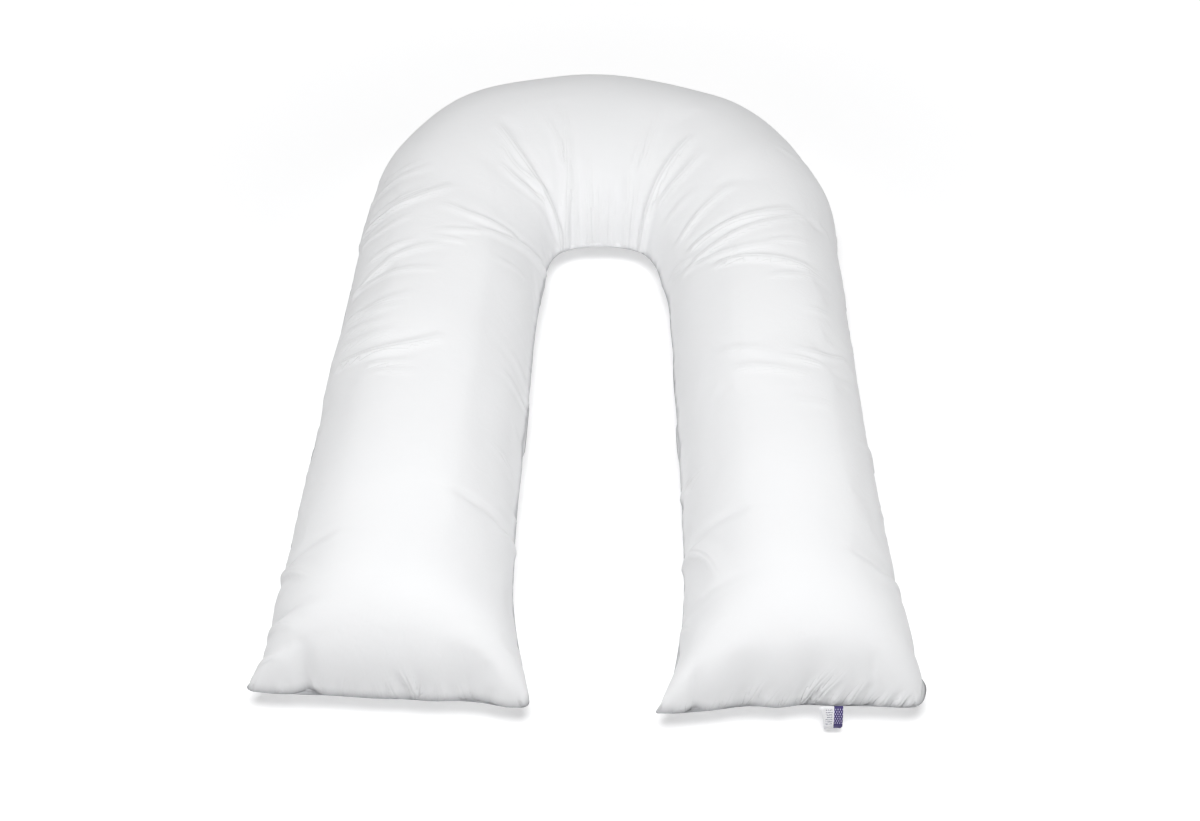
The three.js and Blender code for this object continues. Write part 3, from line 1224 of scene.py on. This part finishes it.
@dataclass
class Cover:
    """The filled cotton cover: two panels sewn together all the way round.

    Attributes:
        form: The filled shape.
        finish: Its cloth.
        lump: Height of the filling's unevenness under the cloth.
        lump_size: Its wavelength.
        outer_gathers: Puckers along the outer seam.
        inner_gathers: Puckers along the inner seam.
        end_gathers: Small puckers along the two end seams.
        end_puckers: The larger ones there.
        pucker_swell: Height of the cloth puffed up beside these, as a share of the depth.
        pressure: The filling's push in the simulation.
        slack: Spare cloth in the simulation, as a share of its length.
        swell_limit: The farthest the simulation may move a point.
        frames: Its length.
        leg_share: Depth of the inner gathers along the legs, as a share of that on the arch.
        arch_rise: Distance up the arch over which they grow.
        free_from: Height above the floor from which the lower panel moves freely.
        free_within: Length of cloth from an end seam over which the cloth becomes free to move.
        opening_shade_reach: Distance round the closed opening within which the painted shade at the seam
            is weaker.
        opening_shade_share: How much farther from the seam its cloth counts, as a share of the painted
            seam shade's reach.
        points: The finished grid, a row of points for each station.
    """

    form: PillowForm
    finish: CottonFinish = CottonFinish()
    lump: float = 0.0040
    lump_size: float = 0.13
    outer_gathers: Gathers = Gathers(0.021, 0.0010, 0.0045, 0.022, 11)
    inner_gathers: Gathers = Gathers(0.017, 0.0014, 0.0040, 0.018, 12)
    end_gathers: Gathers = Gathers(0.017, 0.0014, 0.0034, 0.012, 13)
    end_puckers: tuple[Pucker, ...] = END_PUCKERS
    pucker_swell: float = 0.35
    pressure: float = 2.0
    slack: float = 0.004
    swell_limit: float = 0.004
    frames: int = 20
    leg_share: float = 0.35
    arch_rise: float = 0.25
    free_from: float = 0.02
    free_within: float = 0.005
    opening_shade_reach: float = 0.085
    opening_shade_share: float = 0.4
    points: np.ndarray | None = None

    def build(self) -> bpy.types.Object:
        """Returns:
            The cover.
        """
        points = self.form.surface()
        points = self._press(points, -self._lumps(points))
        points = self._settle(points)
        creases = self._crease(points)
        points = self._press(points, creases.depth)
        points[..., 2] = np.maximum(points[..., 2], 0.0)
        self.points = points
        stations, columns = points.shape[:2]
        faces = [tuple(quad) for quad in ring_quads(stations, columns).tolist()]
        faces += self._end_strip(0, True) + self._end_strip(stations - 1, False)
        piece = mesh_piece("cotton_cover", points.reshape(-1, 3), faces)
        self._lay_maps(piece, points, creases)
        dress(piece, self.finish.material())
        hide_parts("pillow")
        return piece

    def _end_strip(self, station: int, flip: bool) -> list[tuple[int, ...]]:
        """Triangles between the two panels at an end seam.

        Args:
            station: The end's station.
            flip: True where the strip faces the other way.

        Returns:
            The faces.
        """
        form = self.form
        columns = len(form.lip)
        low = station * columns
        upper = [low + column for column in range(form.inner_tip + 1)]
        lower = [low + column % columns for column in range(columns, form.inner_tip - 1, -1)]
        strip: list[tuple[int, ...]] = []
        i = j = 0
        while i < len(upper) - 1 or j < len(lower) - 1:
            ahead = (i + 1) / (len(upper) - 1) <= (j + 1) / (len(lower) - 1)
            if j == len(lower) - 1 or (ahead and i < len(upper) - 1):
                corner = (upper[i], upper[i + 1], lower[j])
                i += 1
            else:
                corner = (upper[i], lower[j + 1], lower[j])
                j += 1
            if len(set(corner)) == 3:
                strip.append(corner[::-1] if flip else corner)
        return strip

    def _from_ends(self, points: np.ndarray) -> np.ndarray:
        """Length of cloth from the nearer end seam to each point."""
        run = run_along(points, 0)
        return np.minimum(run, run[-1:] - run)

    def _freedom(self, points: np.ndarray) -> np.ndarray:
        """The share by which each point is free to move: 0 on the sewn edge and the floor.

        Args:
            points: The cover's grid.

        Returns:
            The share at each point.
        """
        form = self.form
        edge, _ = form.edge_at(points[..., :2])
        from_end = np.clip((self._from_ends(points) - edge) / self.free_within, 0, 1)
        raised = np.clip(points[..., 2] / self.free_from, 0, 1)
        return from_end * np.where(form.upper, 1.0, raised) * (form.lip == 0)

    def _normals(self, points: np.ndarray) -> np.ndarray:
        """Outward directions of the grid's points.

        Args:
            points: The cover's grid.

        Returns:
            One unit vector for each point.
        """
        along = np.gradient(points, axis=0)
        around = np.roll(points, -1, axis=1) - np.roll(points, 1, axis=1)
        normal = np.cross(around, along)
        return -normal / np.maximum(np.linalg.norm(normal, axis=-1, keepdims=True), 1e-9)

    def _press(self, points: np.ndarray, depth: np.ndarray) -> np.ndarray:
        """Moves the cloth inwards by a depth, as far as it is free to move."""
        return points - self._normals(points) * (depth * self._freedom(points))[..., None]

    def _lumps(self, points: np.ndarray) -> np.ndarray:
        """Height of the filling's unevenness at each point."""
        flat = (points / self.lump_size).reshape(-1, 3)
        swell = np.array([noise.noise(Vector(place)) for place in flat.tolist()])
        return self.lump * swell.reshape(points.shape[:2])

    def _seam_places(self, points: np.ndarray) -> tuple[np.ndarray, ...]:
        """Where each point lies from the side seams.

        Args:
            points: The cover's grid.

        Returns:
            Place along the outer seam and distance from it, then the same for the inner seam.
        """
        round_ring = run_along(points, 1)
        ring = round_ring[:, -1:] + np.linalg.norm(points[:, :1] - points[:, -1:], axis=-1)
        tip = self.form.inner_tip
        from_outer = np.minimum(round_ring, ring - round_ring)
        from_inner = np.abs(round_ring - round_ring[:, tip : tip + 1])
        down_leg = run_along(points, 0)
        outer_run = np.broadcast_to(down_leg[:, :1], from_outer.shape)
        inner_run = np.broadcast_to(down_leg[:, tip : tip + 1], from_outer.shape)
        return outer_run, from_outer, inner_run, from_inner

    def _crease(self, points: np.ndarray) -> Creases:
        """Gathers the folds and the puckers along the seams, read at each point.

        Args:
            points: The cover's grid.

        Returns:
            The creases.
        """
        form = self.form
        creases = Creases(points.shape[:2])
        form.add_folds(points[..., :2], creases)
        outer_run, from_outer, inner_run, from_inner = self._seam_places(points)
        creases.depth += self.outer_gathers.draw_in(outer_run, from_outer, float(outer_run.max()))
        on_arch = points[..., 1].max(axis=1, keepdims=True) - form.shift[1]
        share = self.leg_share + (1 - self.leg_share) * np.clip(on_arch / self.arch_rise, 0, 1)
        length = float(inner_run.max())
        creases.depth += share * self.inner_gathers.draw_in(inner_run, from_inner, length)
        down_leg = run_along(points, 0)
        for end, row in ((down_leg, 0), (down_leg[-1:] - down_leg, -1)):
            along_seam = np.linalg.norm(points[..., :2] - form.outer[row], axis=-1)
            gathers = replace(self.end_gathers, seed=self.end_gathers.seed + row)
            width = float(np.linalg.norm(form.outer[row] - form.inner[row]))
            creases.depth += gathers.draw_in(along_seam, end, width)
        self._add_end_puckers(points, creases)
        creases.depth *= form.upper
        creases.line *= form.upper
        return creases

    def _add_end_puckers(self, points: np.ndarray, creases: Creases) -> None:
        """Adds the larger puckers along the end seams.

        Args:
            points: The cover's grid.
            creases: What they are added to.
        """
        off = self._from_ends(points)
        across = points[..., 0] - self.form.shift[0]
        for place, lean, length, depth, width in self.end_puckers:
            share = off / (length * MM)
            curl = math.tan(math.radians(lean)) * off * (1 + 0.3 * share)
            deep = depth * MM * np.exp(-(share**2))
            wide = width * MM * (0.8 + 0.7 * share)
            creases.add(deep, across - place * MM - curl, wide, self.pucker_swell)

    def _settle(self, points: np.ndarray) -> np.ndarray:
        """Lets the cloth swell and wrinkle over the filling in a short simulation.

        Args:
            points: The filled shape.

        Returns:
            The settled shape.
        """
        coarse = points[::2, ::2]
        stations, columns = coarse.shape[:2]
        faces = [tuple(quad) for quad in ring_quads(stations, columns).tolist()]
        piece = mesh_piece("settling_cloth", coarse.reshape(-1, 3), faces)
        held = 1 - self._freedom(points)[::2, ::2].ravel()
        pins = piece.vertex_groups.new(name="held")
        for index, weight in enumerate(held.tolist()):
            pins.add([index], weight, "REPLACE")
        modifier = piece.modifiers.new("cloth", "CLOTH")
        cloth = modifier.settings
        for setting, value in COTTON_CLOTH.items():
            setattr(cloth, setting, value)
        cloth.shrink_min = -self.slack
        cloth.use_pressure = True
        cloth.uniform_pressure_force = self.pressure
        cloth.vertex_group_mass = "held"
        cloth.effector_weights.gravity = 0.0
        modifier.point_cache.frame_start = 1
        modifier.point_cache.frame_end = self.frames
        scene = bpy.context.scene
        for step in range(1, self.frames + 1):
            scene.frame_set(step)
        settled = piece.evaluated_get(bpy.context.evaluated_depsgraph_get()).to_mesh()
        moved = np.empty(stations * columns * 3, dtype=np.float32)
        settled.vertices.foreach_get("co", moved)
        move = moved.reshape(coarse.shape) - coarse
        bpy.data.objects.remove(piece)
        scene.frame_set(1)
        far = np.linalg.norm(move, axis=-1, keepdims=True)
        LOG.info("settling moved the cloth up to %.1f mm", far.max() / MM)
        move *= np.minimum(1, self.swell_limit / np.maximum(far, 1e-9))
        return points + self._refine(move, points.shape[:2])

    def _refine(self, move: np.ndarray, shape: tuple[int, int]) -> np.ndarray:
        """Spreads moves of every second station and column over all of them.

        Args:
            move: Moves of every second station and column.
            shape: Stations and columns of the whole grid.

        Returns:
            A move for each of its points.
        """
        wrapped = np.concatenate([move, move[:, :1]], axis=1)
        full = np.empty((shape[0], wrapped.shape[1], 3))
        full[::2] = wrapped
        full[1::2] = (wrapped[:-1] + wrapped[1:]) / 2
        wide = np.empty((shape[0], shape[1] + 1, 3))
        wide[:, ::2] = full
        wide[:, 1::2] = (full[:, :-1] + full[:, 1:]) / 2
        return wide[:, : shape[1]]

    def _lay_maps(self, piece: bpy.types.Object, points: np.ndarray, creases: Creases) -> None:
        """Gives the cover its maps, all in metres.

        The first holds the place along the tube and round it, the second the place along the
        nearest seam and the distance from it, the third the distance from the nearest crease's
        line and the line's depth.

        Args:
            piece: The cover.
            points: Its grid.
            creases: Its creases.
        """
        shape = points.shape[:2]
        u = np.broadcast_to(run_along(points, 0).mean(axis=1)[:, None], shape)
        v = np.broadcast_to(run_along(points, 1).mean(axis=0)[None, :], shape)
        outer_run, from_outer, inner_run, from_inner = self._seam_places(points)
        place = np.where(from_outer < from_inner, outer_run, inner_run + SEAM_GAP)
        distance = np.minimum(from_outer, from_inner)
        from_ends = self._from_ends(points)
        place = np.where(from_ends < distance, points[..., 0] + 2 * SEAM_GAP, place)
        distance = np.minimum(distance, from_ends)
        opening = self.form.in_frame(*OPENING)
        from_opening = np.linalg.norm(points[..., :2] - opening, axis=-1)
        near_opening = np.exp(-((from_opening / self.opening_shade_reach) ** 4))
        # round the closed opening the seam distance is stretched, so the painted seam shade there is
        # lighter and the gathers start farther out
        distance = distance + self.opening_shade_share * self.finish.seam_shade_reach * near_opening
        index = np.empty(len(piece.data.loops), dtype=np.int32)
        piece.data.loops.foreach_get("vertex_index", index)
        maps = (("cloth", u, v), ("seam", place, distance), ("crease", creases.aside, creases.line))
        for name, first, second in maps:
            pairs = np.stack([first.ravel()[index], second.ravel()[index]], axis=1)
            layer = piece.data.uv_layers.new(name=name)
            layer.data.foreach_set("uv", pairs.astype(np.float32).ravel())


@dataclass
class Tag:
    """A woven tape folded in two, both its ends caught in the right leg's end seam.

    Attributes:
        form: The pillow that it hangs from.
        finish: Its cloth.
        length: From the seam to the fold.
        thickness: Of one layer.
        gap: Between the two layers at the fold.
        caught: How far the ends reach into the seam.
        droop: Its slope where it leaves the seam, in degrees.
        curl: How much steeper it is at the fold.
        skew: How far the under layer's caught end lies to the left.
        wave: Height of its waviness at the fold.
        below: How far below the seam's top it comes out.
        cells_across: Grid cells across the tape.
        cells_down: Grid cells down each layer.
    """

    form: PillowForm
    finish: TagFinish = TagFinish()
    length: float = 0.0265
    thickness: float = 0.00035
    gap: float = 0.0011
    caught: float = 0.0022
    droop: float = 50.0
    curl: float = 30.0
    skew: float = 0.006
    wave: float = 0.0009
    below: float = 0.0008
    cells_across: int = 16
    cells_down: int = 26

    def build(self) -> bpy.types.Object:
        """Returns:
            The tag.
        """
        low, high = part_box("label")
        width = high.x - low.x
        down = self._layer_places()
        points = np.empty((len(down), self.cells_across + 1, 3))
        across = np.linspace(-0.5, 0.5, self.cells_across + 1)
        side = np.where(np.arange(len(down)) < len(down) // 2, 1.0, -1.0)
        height, out = self._profile(down)
        # 1 at the under layer's caught end and 0 at the fold and on the upper layer
        back = np.where(side < 0, 1 - down / self.length, 0.0)
        start = Vector(((low.x + high.x) / 2, high.y, high.z))
        points[..., 0] = start.x + across * width - (self.skew * back**1.5)[:, None]
        points[..., 1] = start.y - out[:, None]
        lift = self.gap / 2 * side * np.sqrt(np.clip(1 - (down / self.length) ** 6, 0, 1))
        wave = self.wave * np.sin(across * 5.5 + 0.6)[None, :] * (down / self.length)[:, None]
        points[..., 2] = start.z - self.below - height[:, None] + lift[:, None] + wave
        faces = [tuple(face) for face in self._grid_faces(len(down)).tolist()]
        piece = mesh_piece("folded_tag", points.reshape(-1, 3), faces)
        self._lay_print(piece, len(down))
        self._thicken(piece)
        dress(piece, self.finish.material())
        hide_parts("label")
        return piece

    def _layer_places(self) -> np.ndarray:
        """Distances from the seam, down the upper layer and back up the under one."""
        layer = np.linspace(-self.caught, self.length, self.cells_down + 1)
        return np.concatenate([layer, layer[::-1][1:]])

    def _profile(self, down: np.ndarray) -> tuple[np.ndarray, np.ndarray]:
        """Drop below the seam and reach out from it, at distances down the tag."""
        share = np.clip(down / self.length, 0, 1)
        slope = np.radians(self.droop + self.curl * share / 2)
        return down.clip(0) * np.sin(slope), np.where(down < 0, down, down * np.cos(slope))

    def _grid_faces(self, rows: int) -> np.ndarray:
        """Quads of the tape's grid, facing up on the upper layer."""
        columns = self.cells_across + 1
        first = (np.arange(rows - 1)[:, None] * columns + np.arange(columns - 1)).ravel()
        return np.stack([first, first + columns, first + columns + 1, first + 1], axis=1)

    def _lay_print(self, piece: bpy.types.Object, rows: int) -> None:
        """Gives the tag its map: 0 to 1 across, and 0 to 1 down each layer.

        Args:
            piece: The tag.
            rows: Rows of points down both its layers.
        """
        columns = self.cells_across + 1
        index = np.empty(len(piece.data.loops), dtype=np.int32)
        piece.data.loops.foreach_get("vertex_index", index)
        down = 2 * (index // columns) / (rows - 1)
        across = (index % columns) / self.cells_across
        layer = piece.data.uv_layers.new(name="cloth")
        layer.data.foreach_set("uv", np.stack([across, down], axis=1).astype(np.float32).ravel())

    def _thicken(self, piece: bpy.types.Object) -> None:
        """Gives the tape its thickness."""
        activate(piece)
        solid = piece.modifiers.new("thickness", "SOLIDIFY")
        solid.thickness = self.thickness
        solid.offset = 0.0
        solid.use_even_offset = True
        bpy.ops.object.modifier_apply(modifier=solid.name)
        piece.data.shade_smooth()


PROUD = 1.05  # height of a stitch's middle over the lip, in half-thicknesses of the lip


@dataclass
class Stitches:
    """The row of machine stitches that closes the filling opening on the inner arch.

    Attributes:
        form: The pillow.
        cover_points: The cover's grid of points.
        finish: Their thread.
        pitch: From one stitch to the next.
        thread: Its thickness.
        reach: Length of seam that they close.
        out: Their place across the lip, from 0 at the filling to 1 at its rim.
        length: Length of a stitch, as a share of the pitch.
    """

    form: PillowForm
    cover_points: np.ndarray
    finish: ThreadFinish = ThreadFinish()
    pitch: float = 0.0034
    thread: float = 0.0005
    reach: float = 0.150
    out: float = 0.55
    length: float = 0.86

    def build(self) -> bpy.types.Object:
        """Builds both sides' stitches as one piece.

        Returns:
            The stitches.
        """
        tip = self.form.inner_tip
        pattern = self._one_stitch()
        points = self.cover_points
        places = []
        for base, side in ((tip - 2, 1.0), (tip + 2, -1.0)):
            line = points[:, base] * (1 - self.out) + points[:, tip] * self.out
            line[:, 2] += side * self.form.edge_half * PROUD
            places.append(line)
        piece = self._copies(pattern, places)
        dress(piece, self.finish.material())
        return piece

    def _one_stitch(self) -> bpy.types.Object:
        """One stitch along X: a thread that dips into the cloth at both ends.

        Returns:
            The stitch.
        """
        bpy.ops.object.select_all(action="DESELECT")
        long = self.pitch * self.length
        bpy.ops.mesh.primitive_cylinder_add(vertices=6, radius=self.thread / 2, depth=long)
        stitch = bpy.context.object
        stitch.name = "one_stitch"
        bpy.ops.transform.rotate(value=math.pi / 2, orient_axis="Y", center_override=(0.0, 0.0, 0.0))
        bpy.ops.object.transform_apply(location=True, rotation=True, scale=True)
        bpy.ops.object.mode_set(mode="EDIT")
        for cut in (-0.24, 0.0, 0.24):
            bpy.ops.mesh.select_all(action="SELECT")
            bpy.ops.mesh.bisect(plane_co=(cut * self.pitch, 0.0, 0.0), plane_no=(1.0, 0.0, 0.0))
        bpy.ops.object.mode_set(mode="OBJECT")
        for vertex in stitch.data.vertices:
            share = abs(vertex.co.x) / (long / 2)
            vertex.co.z -= self.thread * 0.9 * share**3
        return stitch

    def _copies(self, pattern: bpy.types.Object, lines: list[np.ndarray]) -> bpy.types.Object:
        """Lays copies of a stitch along lines and joins them.

        Args:
            pattern: The stitch, which is removed.
            lines: Points along the seam, on the lip's upper and under side.

        Returns:
            The joined stitches.
        """
        opening = self.form.in_frame(*OPENING)
        shape = np.array([vertex.co[:] for vertex in pattern.data.vertices])
        polygons = [tuple(polygon.vertices) for polygon in pattern.data.polygons]
        points, faces = [], []
        for line in lines:
            run = run_along(line, 0)
            middle = run[np.argmin(np.linalg.norm(line[:, :2] - opening, axis=1))]
            count = round(self.reach / self.pitch)
            for step in range(count):
                at = middle + (step + 0.5 - count / 2) * self.pitch
                here = self._at(at, run, line)
                ahead = self._at(at + MM, run, line)
                way = (ahead - here) / np.linalg.norm(ahead - here)
                up = np.array([0.0, 0.0, 1.0 if line is lines[0] else -1.0])
                aside = np.cross(up, way)
                aside /= np.linalg.norm(aside)
                turned = shape @ np.stack([way, aside, np.cross(way, aside)])
                first = len(points) * len(shape)
                faces += [tuple(first + corner for corner in face) for face in polygons]
                points.append(here + turned)
        bpy.data.objects.remove(pattern)
        return mesh_piece("closing_stitches", np.concatenate(points), faces)

    def _at(self, place: float, run: np.ndarray, line: np.ndarray) -> np.ndarray:
        """The point of a line at a length along it."""
        return np.array([np.interp(place, run, line[:, axis]) for axis in range(3)])


class Lamp(NamedTuple):
    """A round lamp that points at the pillow: place and size in metres, power in watts."""

    name: str
    place: tuple[float, float, float]
    size: float
    power: float


LAMPS = (
    Lamp("over_lamp", (0.0, -1.2, 3.2), 1.9, 112.0),
    Lamp("upper_left_lamp", (-1.5, 0.2, 3.2), 2.2, 10.0),
    Lamp("left_lamp", (-3.0, -0.5, 1.4), 1.5, 5.0),
    Lamp("right_lamp", (3.0, -0.5, 1.4), 1.5, 11.0),
    Lamp("back_lamp", (0.0, 3.2, 1.8), 1.5, 11.0),
)


@dataclass
class Studio:
    """Floor, lights and camera.

    Attributes:
        form: The pillow in front of the camera.
        floor_size: Side of the floor.
        floor_gap: How far the floor lies below the pillow.
        eye: The camera's place, in millimetres from the middle of the arch on the floor.
        pitch: How far it looks down, in degrees.
        lens: Its focal length, in millimetres.
        sensor: Its sensor's width, in millimetres.
        lamps: Name, place, size and power of each lamp.
        finish: The floor's.
    """

    form: PillowForm
    floor_size: float = 14.0
    floor_gap: float = 0.0005
    eye: tuple[float, float, float] = (5.5, -2186.0, 1722.0)
    pitch: float = 43.0
    lens: float = 48.594
    sensor: float = 36.0
    lamps: tuple[Lamp, ...] = LAMPS
    finish: FloorFinish = FloorFinish()

    def build(self) -> None:
        """Builds the floor, the lights and the camera."""
        self._floor()
        self._lights()
        self._camera()

    def _floor(self) -> None:
        """Lays the floor under the pillow."""
        bpy.ops.object.select_all(action="DESELECT")
        bpy.ops.mesh.primitive_plane_add(
            size=self.floor_size, location=(0.0, 0.0, -self.floor_gap)
        )
        floor = bpy.context.object
        floor.name = "studio_floor"
        floor.data.materials.append(self.finish.material())

    def _lights(self) -> None:
        """A white backdrop that lights nothing, a broad lamp overhead and weak ones all round."""
        scene = bpy.context.scene
        world = bpy.data.worlds.new("studio")
        scene.world = world
        world.use_nodes = True
        sky = world.node_tree.nodes["Background"]
        sky.inputs["Color"].default_value = (1.0, 1.0, 1.0, 1.0)
        sky.inputs["Strength"].default_value = 1.0
        sees_sky = world.cycles_visibility
        sees_sky.diffuse = sees_sky.glossy = sees_sky.transmission = sees_sky.scatter = False
        scene.view_settings.view_transform = "Standard"
        scene.view_settings.look = "None"
        for name, place, size, power in self.lamps:
            light = bpy.data.lights.new(name, "AREA")
            light.shape = "DISK"
            light.size = size
            light.energy = power
            lamp = bpy.data.objects.new(name, light)
            lamp.location = place
            aim = Vector((0.0, 0.0, 0.1)) - Vector(place)
            lamp.rotation_euler = aim.to_track_quat("-Z", "Y").to_euler()
            scene.collection.objects.link(lamp)

    def _camera(self) -> None:
        """Stands the camera at the open end, looking down."""
        data = bpy.data.cameras.new("eye")
        data.lens = self.lens
        data.sensor_width = self.sensor
        camera = bpy.data.objects.new("eye", data)
        x, y, z = (part * MM for part in self.eye)
        camera.location = (x + self.form.shift[0], y + self.form.shift[1], z)
        camera.rotation_euler = (math.radians(90 - self.pitch), 0.0, 0.0)
        bpy.context.scene.collection.objects.link(camera)
        bpy.context.scene.camera = camera


def main() -> None:
    """Builds the pieces in order."""
    logging.basicConfig(level=logging.INFO, format="%(name)s: %(message)s")
    form = PillowForm()
    Studio(form).build()
    cover = Cover(form)
    cover.build()
    Stitches(form, cover.points).build()
    Tag(form).build()


if __name__ == "__main__":
    main()
